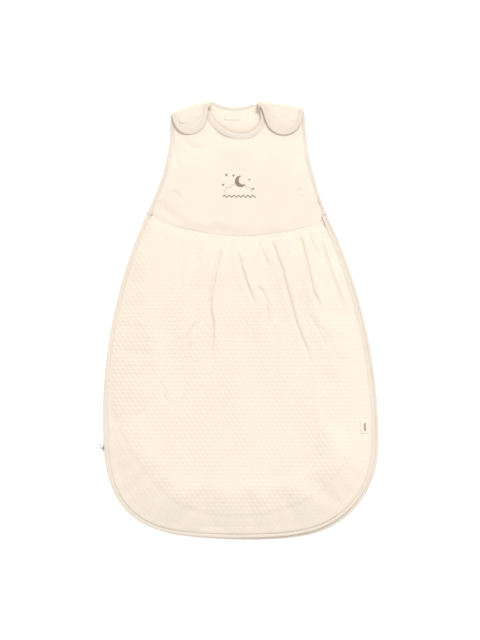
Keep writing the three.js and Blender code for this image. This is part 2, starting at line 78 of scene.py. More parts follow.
# ------------------------------------------------------------------ driving sizes
FINE = 1.55 * MM  # mesh spacing of the quilted front skirt
MIDDLING = 2.2 * MM  # mesh spacing of the quilted back skirt
MEDIUM = 3 * MM  # mesh spacing of the plain panels
COARSE = 12 * MM  # mesh spacing where nothing shows
LOOSE = 6 * MM  # mesh spacing of the cloth simulation
QUILT_X = 8.1 * MM  # the quilting's bumps, from one to the next across
QUILT_Y = 12.7 * MM  # and down, over two staggered rows
QUILT_DEPTH = 0.42 * MM
STITCH = 2.6 * MM
STITCH_GAP = 1.1 * MM
THREAD = 0.42 * MM
DIMPLE = 9 * MM  # how far an underarm popper draws the bodice down round it
TUCK = 2.2 * MM  # how far a panel runs in under its bindings
SEAM_TUCK = 0.4 * MM  # and under its neighbour at the waist seam
BAND_STEP = 2.5 * MM  # from one section of a band to the next
BAND_SQUARE = 3.2  # how square a band's section is: 2 is an ellipse
JOIN_REACH = 45 * MM  # the stretch over which two bands are drawn together at an underarm
EDGE_GIVES = 0.2  # the edge band's share of that, kept low so that it still covers the skirt's edge
NECK_OVERRUN = 3 * MM  # how far the neck bands run in under the shoulder folds
SEWN = 0.62  # where a band is stitched, from its middle (0) to its inner edge (1)

# ------------------------------------------------------------------ colours, linear
CREAM = (0.800, 0.708, 0.600)
CREAM_DEEP = (0.785, 0.695, 0.585)
BINDING = (0.755, 0.672, 0.575)
# The lining is coloured lighter than the cream: partly its own paler tone, partly painted light that lifts
# the shade inside the bag.
LINING_LIT = (0.850, 0.755, 0.640)
TAPE = (0.70, 0.62, 0.50)
NYLON = (0.62, 0.55, 0.45)
ZIP_GREY = (0.42, 0.41, 0.39)
# Cream plastic, coloured a little darker than the cloth round it: painted shade for the dimples the poppers
# sit in.
POPPER_SHADED = (0.745, 0.667, 0.560)
NICKEL = (0.62, 0.60, 0.57)
TAUPE = (0.335, 0.245, 0.190)
TAUPE_LIGHT = (0.50, 0.40, 0.32)
LABEL = (0.800, 0.720, 0.615)


# ------------------------------------------------------------------ materials
def node_of(material, kind, **values):
    node = material.node_tree.nodes.new(kind)
    for name, value in values.items():
        if hasattr(node, name):
            setattr(node, name, value)
        else:
            node.inputs[name.replace("_", " ")].default_value = value
    return node


def wire(material, start, end):
    material.node_tree.links.new(start, end)


def math_node(material, operation, *terms):
    node = node_of(material, "ShaderNodeMath", operation=operation)
    for socket, term in zip(node.inputs, terms):
        if isinstance(term, (int, float)):
            socket.default_value = term
        else:
            wire(material, term, socket)
    return node.outputs[0]


def blank(name, roughness, **constants):
    """A material with a Principled shader, its object coordinates and its three axes."""
    material = bpy.data.materials.new(name)
    material.use_nodes = True
    shader = material.node_tree.nodes["Principled BSDF"]
    shader.inputs["Roughness"].default_value = roughness
    for key, value in constants.items():
        shader.inputs[key.replace("_", " ")].default_value = value
    place = node_of(material, "ShaderNodeTexCoord").outputs["Object"]
    split = node_of(material, "ShaderNodeSeparateXYZ")
    wire(material, place, split.inputs[0])
    return material, shader, place, split.outputs


def noise_of(material, place, scale, detail=2.0):
    node = node_of(material, "ShaderNodeTexNoise", Scale=scale, Detail=detail)
    wire(material, place, node.inputs["Vector"])
    return node.outputs["Fac"]


def ripple(material, axis, period):
    """A cosine along one axis, from -1 to 1."""
    return math_node(material, "COSINE", math_node(material, "MULTIPLY", axis, 2 * math.pi / period))


def tint(material, shader, colour, factor, low=0.9, high=1.04):
    """The colour, a little darker or lighter where the factor is low or high."""
    mix = node_of(material, "ShaderNodeMix", data_type="RGBA")
    mix.inputs["A"].default_value = (*[c * low for c in colour], 1)
    mix.inputs["B"].default_value = (*[min(1, c * high) for c in colour], 1)
    wire(material, factor, mix.inputs["Factor"])
    wire(material, mix.outputs["Result"], shader.inputs["Base Color"])


def bumped(material, shader, height, distance, strength=1.0):
    bump = node_of(material, "ShaderNodeBump", Strength=strength, Distance=distance)
    wire(material, height, bump.inputs["Height"])
    wire(material, bump.outputs["Normal"], shader.inputs["Normal"])


def knit(name, colour, wale=0.95 * MM, course=0.75 * MM, quilted=False):
    """Cotton jersey: fine wales and courses, patchy in tone, with a soft sheen."""
    material, shader, place, axes = blank(
        name, 0.92, Sheen_Weight=0.12, Sheen_Roughness=0.5, Specular_IOR_Level=0.15)
    across, down = ripple(material, axes[0], wale), ripple(material, axes[1], course)
    loops = math_node(material, "ADD", across, math_node(material, "MULTIPLY", down, 0.6))
    fuzz = noise_of(material, place, 900, 3)
    patches = noise_of(material, place, 14, 3)
    height = math_node(material, "ADD", math_node(material, "MULTIPLY", loops, 0.5), fuzz)
    tone = math_node(material, "ADD", math_node(material, "MULTIPLY", patches, 0.75),
                     math_node(material, "MULTIPLY", math_node(material, "ADD", loops, 1.6), 0.08))
    depth = 0.12 * MM
    if quilted:
        bump_x = ripple(material, axes[0], QUILT_X)
        bump_y = ripple(material, axes[1], QUILT_Y)
        lattice = math_node(material, "MULTIPLY", bump_x, bump_y)
        height = math_node(material, "ADD", math_node(material, "MULTIPLY", lattice, 0.5), height)
        # Painted shade and light: the quilting's hollows are coloured a little darker and its pillows a
        # little lighter.
        tone = math_node(material, "ADD", tone, math_node(material, "MULTIPLY", lattice, 0.06))
    tint(material, shader, colour, tone, 0.955, 1.03)
    bumped(material, shader, height, depth)
    return material


def ribbed(name, colour, period=1.1 * MM):
    """Binding cut from rib knit: ribs across the band, each coloured a little lighter where it stands up."""
    material, shader, place, axes = blank(
        name, 0.9, Sheen_Weight=0.1, Sheen_Roughness=0.5, Specular_IOR_Level=0.15)
    across, down = ripple(material, axes[0], period), ripple(material, axes[1], period)
    ribs = math_node(material, "MULTIPLY", across, down)
    fuzz = noise_of(material, place, 700, 3)
    height = math_node(material, "ADD", ribs, fuzz)
    patches = noise_of(material, place, 30, 3)
    # The ribs' raised parts are coloured a little lighter than their hollows.
    tone = math_node(material, "ADD", math_node(material, "MULTIPLY", ribs, 0.12), patches)
    tint(material, shader, colour, tone, 0.93, 1.04)
    bumped(material, shader, height, 0.12 * MM)
    return material


def woven(name, colour, period=0.6 * MM, roughness=0.75):
    """Plain woven tape or ribbon."""
    material, shader, place, axes = blank(name, roughness, Sheen_Weight=0.15, Specular_IOR_Level=0.3)
    warp, weft = ripple(material, axes[0], period), ripple(material, axes[1], period)
    over = math_node(material, "MULTIPLY", warp, weft)
    patches = noise_of(material, place, 60, 2)
    tone = math_node(material, "ADD", math_node(material, "MULTIPLY", over, 0.25), patches)
    tint(material, shader, colour, tone, 0.9, 1.06)
    bumped(material, shader, over, 0.025 * MM)
    return material


def moulded(name, colour, roughness=0.32):
    """Satin plastic with faint flow marks and handling scuffs."""
    material, shader, place, _ = blank(name, roughness, Specular_IOR_Level=0.5, Coat_Weight=0.15)
    flow = noise_of(material, place, 120, 4)
    tint(material, shader, colour, flow, 0.93, 1.05)
    rough = math_node(material, "MULTIPLY_ADD", noise_of(material, place, 400, 2), 0.25, roughness - 0.1)
    wire(material, rough, shader.inputs["Roughness"])
    bumped(material, shader, flow, 0.03 * MM)
    return material


def plated(name, colour, roughness=0.3):
    """Plated metal with fine polishing marks and duller spots."""
    material, shader, place, _ = blank(name, roughness, Metallic=0.85)
    spots = noise_of(material, place, 300, 4)
    tint(material, shader, colour, spots, 0.86, 1.08)
    rough = math_node(material, "MULTIPLY_ADD", spots, 0.3, roughness - 0.12)
    wire(material, rough, shader.inputs["Roughness"])
    bumped(material, shader, noise_of(material, place, 2500, 2), 0.02 * MM)
    return material


def threads(name, colour):
    """Lustrous embroidery and sewing thread, twisted."""
    material, shader, place, axes = blank(name, 0.55, Sheen_Weight=0.2, Specular_IOR_Level=0.4)
    slant = math_node(material, "ADD", axes[0], axes[1])
    twist = ripple(material, slant, 0.5 * MM)
    sheen = math_node(material, "MULTIPLY", twist, 0.2)
    tone = math_node(material, "ADD", sheen, noise_of(material, place, 200))
    tint(material, shader, colour, tone, 0.82, 1.12)
    bumped(material, shader, twist, 0.06 * MM)
    return material


def glowing_floor(name):
    # The floor glows a little: painted light that lifts the bag's shadow off it.
    material, shader, place, _ = blank(name, 0.9, Specular_IOR_Level=0.1, Emission_Strength=0.25)
    tint(material, shader, (0.97, 0.97, 0.97), noise_of(material, place, 3), 0.995, 1.0)
    return material


jersey = knit("jersey", CREAM)
quilted = knit("quilted_jersey", CREAM_DEEP, quilted=True)
lining_cloth = knit("lining_jersey", LINING_LIT)
tab_cloth = knit("tab_jersey", CREAM_DEEP)
rib = ribbed("rib_binding", BINDING)
tape_cloth = woven("zip_tape", TAPE)
label_cloth = woven("label_ribbon", LABEL, 0.45 * MM, 0.6)
nylon = moulded("nylon_teeth", NYLON, 0.4)
popper_plastic = moulded("popper_plastic", POPPER_SHADED, 0.5)
nickel = plated("nickel", NICKEL)
zip_metal = plated("zip_metal", ZIP_GREY, 0.38)
sewing_thread = threads("sewing_thread", CREAM_DEEP)
motif_thread = threads("motif_thread", TAUPE)
motif_pale = threads("motif_pale_thread", TAUPE_LIGHT)


# ------------------------------------------------------------------ lines read from the frame
def outline_of(node, up=1):
    """The edge of a CAD node's upper (or, with up=-1, lower) side, as a ring of points."""
    mesh = frame["nodes"][node].data
    place = [tuple(round(c, 6) for c in v.co) for v in mesh.vertices]
    edges = set()
    for polygon in mesh.polygons:
        if polygon.normal.z * up > 0.5:
            corners = [place[i] for i in polygon.vertices]
            edges.update(zip(corners, corners[1:] + corners[:1]))
    after = {a: b for a, b in edges if (b, a) not in edges}
    ring = [min(after)]
    while after[ring[-1]] != ring[0]:
        ring.append(after[ring[-1]])
    return np.array(ring)


def runs_of(ring, sharp=38):
    """The ring cut at its sharp corners, as seen from above."""
    flat = ring[:, :2]
    before, after = flat - np.roll(flat, 1, 0), np.roll(flat, -1, 0) - flat
    turn = np.arctan2(before[:, 0] * after[:, 1] - before[:, 1] * after[:, 0], (before * after).sum(1))
    corners = np.nonzero(np.abs(turn) > math.radians(sharp))[0]
    if len(corners) == 0:
        return [np.vstack([ring, ring[:1]])]
    turned = np.roll(ring, -corners[0], 0)
    cuts = [*(corners - corners[0]), len(ring)]
    closed = np.vstack([turned, turned[:1]])
    return [closed[a:b + 1] for a, b in zip(cuts, cuts[1:])]


def length_of(line):
    return np.linalg.norm(np.diff(line, axis=0), axis=1).sum()


def resampled(line, count):
    steps = np.linalg.norm(np.diff(line, axis=0), axis=1)
    at = np.concatenate([[0], np.cumsum(steps)])
    wanted = np.linspace(0, at[-1], count)
    return np.column_stack([np.interp(wanted, at, line[:, i]) for i in range(line.shape[1])])


def smoothed(line, spacing, reach=9 * MM):
    """Evenly spaced points along a line, its corners between facets rounded off and its ends kept."""
    step = 1 * MM
    fine = resampled(line, max(8, round(length_of(line) / step)) + 1)
    half = min(int(3 * reach / step), len(fine) - 1)
    weights = np.exp(-0.5 * (np.arange(-half, half + 1) * step / reach) ** 2)
    weights /= weights.sum()
    start, end = 2 * fine[0] - fine[half:0:-1], 2 * fine[-1] - fine[-2:-half - 2:-1]
    longer = np.vstack([start, fine, end])
    soft = np.column_stack([np.convolve(longer[:, i], weights, "valid") for i in range(line.shape[1])])
    return resampled(soft, max(2, round(length_of(soft) / spacing)) + 1)


def smooth_ring(node, spacing, up=1):
    """The outline of a CAD node as one closed ring, its real corners kept."""
    runs = [run for run in runs_of(outline_of(node, up)) if length_of(run) > spacing / 4]
    return np.vstack([smoothed(run, spacing)[:-1] for run in runs])


def grown(ring, distance):
    """The ring moved outwards, to tuck it under a binding or a seam."""
    flat = ring[:, :2]
    along = np.roll(flat, -1, 0) - np.roll(flat, 1, 0)
    along /= np.linalg.norm(along, axis=1)[:, None]
    return flat + distance * np.column_stack([along[:, 1], -along[:, 0]])


def strip_of(node, spacing):
    """The two long edges of a CAD band, the longer one first, and its lower and upper levels."""
    def long_edges(up):
        ring = outline_of(node, up)
        return sorted(runs_of(ring), key=length_of)[-2:]

    first, second = [smoothed(edge, spacing) for edge in long_edges(1)]
    count = len(first)
    first, second = resampled(first, count), resampled(second, count)[::-1]
    low_edge = resampled(smoothed(long_edges(-1)[0], spacing), count)
    if np.linalg.norm(low_edge[0, :2] - first[0, :2]) > np.linalg.norm(low_edge[-1, :2] - first[0, :2]):
        low_edge = low_edge[::-1]
    if length_of(first) < length_of(second):
        first, second = second, first
    return first[:, :2], second[:, :2], low_edge[:, 2], (first[:, 2] + second[:, 2]) / 2


def carried_on(strip, distance):
    """A strip of strip_of with both its ends carried straight on."""
    outer, inner, low, high = strip
    for end, before in ((0, 1), (-1, -2)):
        longer = []
        for line in (outer, inner):
            ahead = (line[end] - line[before]) / np.linalg.norm(line[end] - line[before])
            new = line[end] + distance * ahead
            longer.append(np.vstack([new, line] if end == 0 else [line, new]))
        outer, inner = longer
        low, high = [np.concatenate([[heights[0]], heights] if end == 0 else [heights, [heights[-1]]])
                     for heights in (low, high)]
    return outer, inner, low, high


def drawn_to(strip, end, section):
    """A strip with one end moved to a section, and the samples near that end after it."""
    middle = (strip[0] + strip[1]) / 2
    travelled = np.concatenate([[0], np.cumsum(np.linalg.norm(np.diff(middle, axis=0), axis=1))])
    away = travelled if end == 0 else travelled[-1] - travelled
    share = 1 - smoothstep(away, 0, JOIN_REACH)
    return [line + (share[:, None] if line.ndim == 2 else share) * (goal - line[end])
            for line, goal in zip(strip, section)]


def band_strips(side):
    """The strips of the front's or back's bands; those that meet at an underarm share their end section."""
    edge = strip_of(f"{side}_edge_binding", BAND_STEP)
    strips = {f"{side}_neck_binding": carried_on(strip_of(f"{side}_neck_binding", BAND_STEP), NECK_OVERRUN)}
    for hand in SIDES:
        armhole = strip_of(f"{hand}_{side}_armhole_binding", BAND_STEP)
        ends = [(i, k) for i in (0, -1) for k in (0, -1)]
        i, k = min(ends, key=lambda pair: np.linalg.norm(edge[0][pair[0]] - armhole[0][pair[1]]))
        if np.linalg.norm(edge[0][i] - armhole[0][k]) > np.linalg.norm(edge[0][i] - armhole[1][k]):
            armhole = (armhole[1], armhole[0], *armhole[2:])
        section = [line[i] + EDGE_GIVES * (other[k] - line[i]) for line, other in zip(edge, armhole)]
        edge, armhole = drawn_to(edge, i, section), drawn_to(armhole, k, section)
        strips[f"{hand}_{side}_armhole_binding"] = armhole
    return {f"{side}_edge_binding": edge, **strips}


# ------------------------------------------------------------------ heights read from the frame
class Relief:
    """The upper or lower side of a CAD node or of a mesh as smooth heights on a square grid."""

    STEP = 3 * MM

    def __init__(self, node, up=1, blur=9 * MM, mesh=None):
        low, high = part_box(node)
        self.low = np.array([low.x, low.y]) - 2 * self.STEP
        self.shape = [int((high[i] - low[i]) / self.STEP) + 5 for i in (0, 1)]
        mesh = mesh or frame["nodes"][node].data
        tree = BVHTree.FromPolygons([v.co for v in mesh.vertices], [tuple(p.vertices) for p in mesh.polygons])
        start = high.z + 1 if up > 0 else low.z - 1
        heights = np.full(self.shape, np.nan)
        for i in range(self.shape[0]):
            for k in range(self.shape[1]):
                x, y = self.low + np.array([i, k]) * self.STEP
                hit = tree.ray_cast(Vector((x, y, start)), Vector((0, 0, -up)))[0]
                if hit:
                    heights[i, k] = hit.z
        self.heights = self.blurred(self.spread(heights), blur / self.STEP)

    @staticmethod
    def spread(heights):
        """Fills the cells beside the node with the nearest height."""
        filled = heights.copy()
        while np.isnan(filled).any():
            shifted = [np.roll(filled, s, a) for a in (0, 1) for s in (1, -1)]
            stack = np.stack(shifted)
            known = ~np.isnan(stack)
            total = np.where(known, stack, 0).sum(0)
            count = known.sum(0)
            new = np.isnan(filled) & (count > 0)
            filled[new] = total[new] / count[new]
        return filled

    @staticmethod
    def blurred(heights, sigma):
        if sigma <= 0:
            return heights
        half = int(3 * sigma) + 1
        weights = np.exp(-0.5 * (np.arange(-half, half + 1) / sigma) ** 2)
        weights /= weights.sum()
        soft = heights
        for axis in (0, 1):
            padded = np.pad(soft, [(half, half) if a == axis else (0, 0) for a in (0, 1)], mode="edge")
            soft = np.apply_along_axis(lambda line: np.convolve(line, weights, "valid"), axis, padded)
        return soft

    def at(self, points):
        place = (points[:, :2] - self.low) / self.STEP
        place = np.clip(place, 0, np.array(self.shape) - 1.001)
        cell = place.astype(int)
        (i, k), (u, v) = cell.T, (place - cell).T
        h = self.heights
        return ((1 - u) * (1 - v) * h[i, k] + u * (1 - v) * h[i + 1, k]
                + (1 - u) * v * h[i, k + 1] + u * v * h[i + 1, k + 1])


# ------------------------------------------------------------------ meshes
def make_piece(name, vertices, faces, material, smooth=True):
    mesh = bpy.data.meshes.new(name)
    mesh.from_pydata(np.asarray(vertices).tolist(), [], faces)
    mesh.materials.append(material)
    if smooth:
        mesh.shade_smooth()
    mesh.update()
    piece = bpy.data.objects.new(name, mesh)
    bpy.context.scene.collection.objects.link(piece)
    return piece


def facing_out(piece):
    """Turns every face of a closed piece outwards."""
    shape = bmesh.new()
    shape.from_mesh(piece.data)
    bmesh.ops.recalc_face_normals(shape, faces=shape.faces)
    shape.to_mesh(piece.data)
    shape.free()
    return piece


EDGE_ROWS = (0.25, 0.6, 1.1)  # rows of points along a pad's rim, as shares of its rounded edge


def measured_from(ring, points):
    """For each point, whether it is inside the ring and how far it is from it."""
    inside = np.zeros(len(points), bool)
    nearest = np.full(len(points), np.inf)
    x, y = points[:, 0], points[:, 1]
    for (ax, ay), (bx, by) in zip(ring, np.roll(ring, -1, 0)):
        crosses = (ay > y) != (by > y)
        if ay != by:
            inside ^= crosses & (x < (bx - ax) * (y - ay) / (by - ay) + ax)
        dx, dy = bx - ax, by - ay
        along = np.clip(((x - ax) * dx + (y - ay) * dy) / max(dx * dx + dy * dy, 1e-14), 0, 1)
        nearest = np.minimum(nearest, (x - ax - along * dx) ** 2 + (y - ay - along * dy) ** 2)
    return inside, np.sqrt(nearest)


def lattice_in(ring, spacing, edge):
    """Points inside the ring, in rows along its edge and staggered beyond, and their distances from it."""
    low, high = ring.min(0), ring.max(0)
    rows = np.arange(low[1], high[1], spacing * math.sqrt(3) / 2)
    columns = np.arange(low[0], high[0], spacing)
    lattice = np.array([(x + (spacing / 2 if n % 2 else 0), y) for n, y in enumerate(rows) for x in columns])
    sets = [(grown(ring, -share * edge), 0.97 * share * edge) for share in EDGE_ROWS]
    sets.append((lattice, EDGE_ROWS[-1] * edge + 0.6 * spacing))
    found, distances = [], []
    for points, least in sets:
        inside, away = measured_from(ring, points)
        keep = inside & (away > least)
        found.append(points[keep])
        distances.append(away[keep])
    return np.vstack(found), np.concatenate(distances)


def triangles_between(ring, points):
    """Triangles over the ring's inside, numbered with the ring's points first."""
    n = len(ring)
    flat = np.vstack([ring, points])
    edges = [(i, (i + 1) % n) for i in range(n)]
    _, _, faces, *_ = geometry.delaunay_2d_cdt([Vector(p) for p in flat.tolist()], edges, [], 0, 1e-9, True)
    faces = np.array(faces)
    inside, _ = measured_from(ring, flat[faces].mean(1))
    return [tuple(face) for face in faces[inside].tolist()]


def pad(name, ring, top, bottom, material, spacing=MEDIUM, under=COARSE, edge=1.5 * MM, sink=1.1 * MM):
    """A closed pad over a flat ring: its two sides, given as functions, meet below its top by sink."""
    flat = ring[:, :2]
    points, away, count = [flat], [np.zeros(len(flat))], [len(flat)]
    for lattice_spacing in (spacing, under):
        inner, inner_away = lattice_in(flat, lattice_spacing, edge)
        points.append(inner)
        away.append(inner_away)
        count.append(len(inner))
    points, away = np.vstack(points), np.concatenate(away)
    high, low = top(points), bottom(points)
    rim = np.maximum(high - sink, (high + low) / 2)
    share = np.sqrt(1 - (1 - np.clip(away / edge, 0, 1)) ** 2)
    n, m = count[0], count[0] + count[1]
    level = np.where(np.arange(len(points)) < m, high, low)
    heights = rim + (level - rim) * share
    upper = triangles_between(flat, points[n:m])
    lower = triangles_between(flat, points[m:])
    lower = [tuple(i if i < n else i + m - n for i in face[::-1]) for face in lower]
    return facing_out(make_piece(name, np.column_stack([points, heights]), upper + lower, material))


def swept(name, sections, material, closed=False):
    """A skin over a row of rings with the same number of points, capped unless the row is closed."""
    count, size = len(sections), len(sections[0])
    faces = []
    for i in range(count if closed else count - 1):
        for k in range(size):
            a, b = i * size, ((i + 1) % count) * size
            faces.append((a + k, a + (k + 1) % size, b + (k + 1) % size, b + k))
    if not closed:
        faces.append(tuple(range(size))[::-1])
        faces.append(tuple((count - 1) * size + k for k in range(size)))
    return facing_out(make_piece(name, np.vstack(sections), faces, material))


def oval_section(points=14):
    """A rounded oblong, as (across, up) from -1 to 1."""
    angles = np.linspace(0, 2 * math.pi, points, endpoint=False)
    power = 2 / BAND_SQUARE
    return [(math.copysign(abs(math.cos(a)) ** power, math.cos(a)),
             math.copysign(abs(math.sin(a)) ** power, math.sin(a))) for a in angles]


def binding(name, node, strip):
    """A folded band of rib knit in the place of a CAD band, slightly puckered where it is sewn."""
    outer, inner, low, high = strip
    middle, half = (outer + inner) / 2, (inner - outer) / 2
    sections = []
    for i, (m, h, lo, hi) in enumerate(zip(middle, half, low, high)):
        pucker = 1 + 0.04 * math.sin(i * 1.9) + 0.03 * math.sin(i * 0.83 + 1)
        centre, rise = (lo + hi) / 2, (hi - lo) / 2
        sections.append(np.array([
            [*(m + h * u), centre + rise * v * (pucker if v > 0 else 1)]
            for u, v in oval_section()]))
    piece = swept(name, sections, rib)
    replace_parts(piece, node)
    return piece


# ------------------------------------------------------------------ stitching
def stitch_shape(start, end, up, thick):
    """Points and faces of one short stitch: a flattened six-sided spindle."""
    along = end - start
    side = np.cross(along, up)
    side /= max(np.linalg.norm(side), 1e-9)
    rings = [(0.0, 0.35), (0.25, 1.0), (0.75, 1.0), (1.0, 0.35)]
    points = []
    for share, size in rings:
        centre = start + along * share
        for k in range(6):
            angle = math.pi * k / 3
            spoke = 0.5 * math.cos(angle) * side + 0.42 * math.sin(angle) * up
            points.append(centre + thick * size * spoke)
    faces = [(6 * r + k, 6 * r + (k + 1) % 6, 6 * r + 6 + (k + 1) % 6, 6 * r + 6 + k)
             for r in range(3) for k in range(6)]
    return points, faces + [tuple(range(5, -1, -1)), tuple(range(18, 24))]


def stitches(name, lines, material, long=STITCH, gap=STITCH_GAP, thick=THREAD):
    """Running stitches along 3-D lines, as one piece."""
    vertices, faces = [], []
    up = np.array([0.0, 0.0, 1.0])
    for line in lines:
        line = np.asarray(line)
        count = max(1, int(length_of(line) / (long + gap)))
        marks = resampled(line, count * 2 + 1)
        share = long / (long + gap)
        for i in range(count):
            start, end = marks[2 * i], marks[2 * i] + (marks[2 * i + 2] - marks[2 * i]) * share
            points, shape = stitch_shape(start, end, up, thick)
            faces += [tuple(len(vertices) + k for k in face) for face in shape]
            vertices += points
    return facing_out(make_piece(name, vertices, faces, material))


def over_band(strip, share):
    """A line on top of a band, from its outer edge (share -1) to its inner edge (share 1)."""
    outer, inner, low, high = strip
    line = (outer + inner) / 2 + (inner - outer) / 2 * share
    drop = (high - low) / 2 * (1 - (1 - abs(share) ** BAND_SQUARE) ** (1 / BAND_SQUARE))
    return np.column_stack([line, high - drop])


# ------------------------------------------------------------------ the front skirt's folds
skirt_low, skirt_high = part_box("front_skirt_outer")


def on_skirt(*shares):
    """A line given as shares of the skirt's width and length, from its lower left corner."""
    size = np.array([skirt_high.x - skirt_low.x, skirt_high.y - skirt_low.y])
    return np.array([skirt_low.x, skirt_low.y]) + np.array(shares) * size


# The pleats that fall from the gathered waist: their line, depth and width.
PLEATS = [
    (on_skirt((0.43, 0.90), (0.406, 0.81), (0.388, 0.735), (0.389, 0.69), (0.40, 0.66),
              (0.396, 0.59), (0.389, 0.53)), 3.1 * MM, 2.1 * MM),
    (on_skirt((0.498, 0.88), (0.504, 0.845), (0.52, 0.80), (0.54, 0.755), (0.56, 0.715)), 2.6 * MM, 2.0 * MM),
    (on_skirt((0.565, 0.925), (0.583, 0.89), (0.60, 0.86), (0.606, 0.83)), 1.6 * MM, 2.2 * MM),
    (on_skirt((0.621, 0.925), (0.64, 0.875), (0.66, 0.83), (0.685, 0.75), (0.716, 0.655), (0.75, 0.585),
              (0.785, 0.51)), 2.5 * MM, 2.1 * MM),
    (on_skirt((0.73, 0.935), (0.756, 0.847), (0.78, 0.755), (0.797, 0.73), (0.81, 0.68)), 2.8 * MM, 2.1 * MM),
    (on_skirt((0.762, 0.96), (0.774, 0.915), (0.785, 0.895), (0.81, 0.875)), 1.9 * MM, 2.2 * MM),
    (on_skirt((0.815, 0.915), (0.832, 0.866), (0.856, 0.80), (0.879, 0.76), (0.892, 0.726),
              (0.905, 0.67)), 3.2 * MM, 2.1 * MM),
    (on_skirt((0.568, 0.775), (0.589, 0.76), (0.601, 0.736), (0.603, 0.66)), 1.6 * MM, 2.4 * MM),
    (on_skirt((0.345, 0.665), (0.315, 0.635), (0.285, 0.59)), 1.6 * MM, 2.6 * MM),
    (on_skirt((0.275, 0.925), (0.283, 0.873), (0.279, 0.81), (0.257, 0.75)), 1.0 * MM, 2.6 * MM),
    (on_skirt((0.76, 0.69), (0.80, 0.64), (0.84, 0.57)), 1.1 * MM, 3.0 * MM),
    (on_skirt((0.81, 0.65), (0.85, 0.60), (0.87, 0.54)), 1.0 * MM, 3.0 * MM),
    (on_skirt((0.635, 0.66), (0.64, 0.56), (0.635, 0.47)), 0.9 * MM, 4.5 * MM),
    (on_skirt((0.20, 0.48), (0.225, 0.40)), 1.0 * MM, 4.0 * MM),
]
# The soft step above the hem, where the thick wadding ends.
HEM_STEP = smoothed(
    on_skirt((0.0, 0.46), (0.03, 0.36), (0.08, 0.27), (0.17, 0.17), (0.27, 0.085),
             (0.45, 0.055), (0.60, 0.06), (0.80, 0.12), (0.95, 0.27), (1.0, 0.40)), 8 * MM, 20 * MM)
HEM_STEP_HEIGHT = 2.0 * MM
FULLNESS = 4 * MM  # how much the padding stands up beside its sewn edge
FULL_REACH = 90 * MM


def offset_from(line, points):
    """For each point: its signed distance across a line, its share of the way along it, and its distance."""
    best = np.full(len(points), np.inf)
    signed, share = np.zeros(len(points)), np.zeros(len(points))
    lengths = np.linalg.norm(np.diff(line, axis=0), axis=1)
    starts = np.concatenate([[0], np.cumsum(lengths)])
    for a, b, long, before in zip(line[:-1], line[1:], lengths, starts):
        direction = (b - a) / long
        rel = points - a
        along = np.clip(rel @ direction, 0, long)
        away = np.linalg.norm(rel - along[:, None] * direction, axis=1)
        nearer = away < best
        best[nearer] = away[nearer]
        side = np.sign(direction[0] * rel[:, 1] - direction[1] * rel[:, 0])
        signed[nearer] = (away * side)[nearer]
        share[nearer] = ((before + along) / starts[-1])[nearer]
    return signed, share, best


def smoothstep(x, low, high):
    t = np.clip((x - low) / (high - low), 0, 1)
    return t * t * (3 - 2 * t)


def pleat_relief(points, line, depth, width):
    """A valley with a rolled ridge on either side, deepest near its top and fading at its end."""
    soft = smoothed(line, 4 * MM, 5 * MM)
    across, share, _ = offset_from(soft, points)
    fade = smoothstep(share, 0.0, 0.06) * (1 - smoothstep(share, 0.7, 1.0))
    fade = np.where(share <= 0, 0, fade)
    valley = -np.exp(-(across / width) ** 2)
    near_ridge = 0.55 * np.exp(-((across - 3.0 * width) / (2.4 * width)) ** 2)
    far_ridge = 0.25 * np.exp(-((across + 3.4 * width) / (2.8 * width)) ** 2)
    return depth * fade * (valley + near_ridge + far_ridge)


def waves(points, wavelengths, seed):
    """A few soft waves in mixed directions, about 1 high in all."""
    roll = random.Random(seed)
    total = np.zeros(len(points))
    for size in wavelengths:
        angle = roll.uniform(-0.9, 0.9)
        phase = roll.uniform(0, 2 * math.pi)
        along = points[:, 0] * math.cos(angle) + points[:, 1] * math.sin(angle)
        total += np.sin(along * 2 * math.pi / size + phase)
    return total / len(wavelengths)


# The waist seam is the long run of the skirt's outline that lies highest.
skirt_runs = [run for run in runs_of(outline_of("front_skirt_outer")) if length_of(run) > 100 * MM]
waist_line = max(skirt_runs, key=lambda run: run[:, 1].mean())[:, :2]


def below_waist(points):
    order = waist_line[np.argsort(waist_line[:, 0])]
    return np.interp(points[:, 0], order[:, 0], order[:, 1]) - points[:, 1]


def gathers(points):
    """Short puckers just below the waist seam, fanning out and fading down the skirt."""
    down = below_waist(points)
    middle = (skirt_low.x + skirt_high.x) / 2
    fan = (points[:, 0] - middle) / (1 + 1.6 * np.maximum(down, 0))
    roll = random.Random(3)
    ripples = np.zeros(len(points))
    for size in (11 * MM, 17 * MM, 26 * MM, 41 * MM):
        ripples += np.sin(fan * 2 * math.pi / size + roll.uniform(0, 6)) * (size / (30 * MM)) ** 0.5
    fade = np.exp(-np.maximum(down, 0) / (55 * MM)) * smoothstep(down, 2 * MM, 12 * MM)
    return 0.45 * MM * ripples * fade


def quilting(points):
    """Staggered pillows in rows, with a furrow between one row and the next."""
    across, down = points[:, 0] * 2 * math.pi / QUILT_X, points[:, 1] * 2 * math.pi / QUILT_Y
    return QUILT_DEPTH * (0.6 * np.cos(across) * np.cos(down) + 0.4 * np.cos(2 * down))


front_skirt_top = Relief("front_skirt_outer")
front_low = Relief("front_wadding", -1)
front_bodice_top = Relief("front_yoke_outer")

# Creases of the bodice: beside the left strap, across the left chest and in from either underarm.
bodice_low, bodice_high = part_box("front_yoke_outer")


def on_bodice(*shares):
    """A line given as shares of the bodice's width and length, from its lower left corner."""
    size = np.array([bodice_high.x - bodice_low.x, bodice_high.y - bodice_low.y])
    return np.array([bodice_low.x, bodice_low.y]) + np.array(shares) * size


